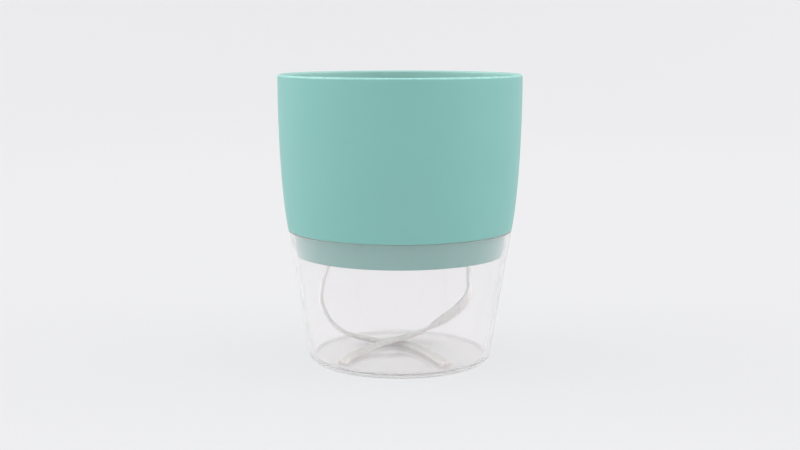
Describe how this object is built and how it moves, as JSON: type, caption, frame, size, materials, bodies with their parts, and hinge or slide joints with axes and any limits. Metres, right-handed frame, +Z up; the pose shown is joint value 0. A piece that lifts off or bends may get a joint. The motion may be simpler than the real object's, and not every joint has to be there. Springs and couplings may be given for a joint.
{
  "type": "self-watering plant pot",
  "caption": "Self-watering plant pot: a tapered satin pot standing on a clear water vessel, with a flat cotton wick drawn through its floor into the water.",
  "frame": {"origin": "middle of the ring that the vessel stands on, at table height", "axes": "+Z up the pot's axis, X through the two wick holes, -Y towards the viewer"},
  "size_m": [0.13, 0.13, 0.154],
  "materials": {
    "clear_plastic": "clear, polished",
    "pot_plastic": "satin, teal",
    "cotton": "flat braid, undyed"
  },
  "bodies": {
    "reservoir": {"reservoir": "clear_plastic"},
    "pot": {"pot": "pot_plastic", "wick_bridge": "cotton", "wick_tail_left": "cotton", "wick_tail_right": "cotton"}
  },
  "joints": [
    {"name": "pot_lift", "type": "slide", "parent": "reservoir", "child": "pot", "axis": [0, 0, 1], "range_m": [0, 0.08]}
  ]
}
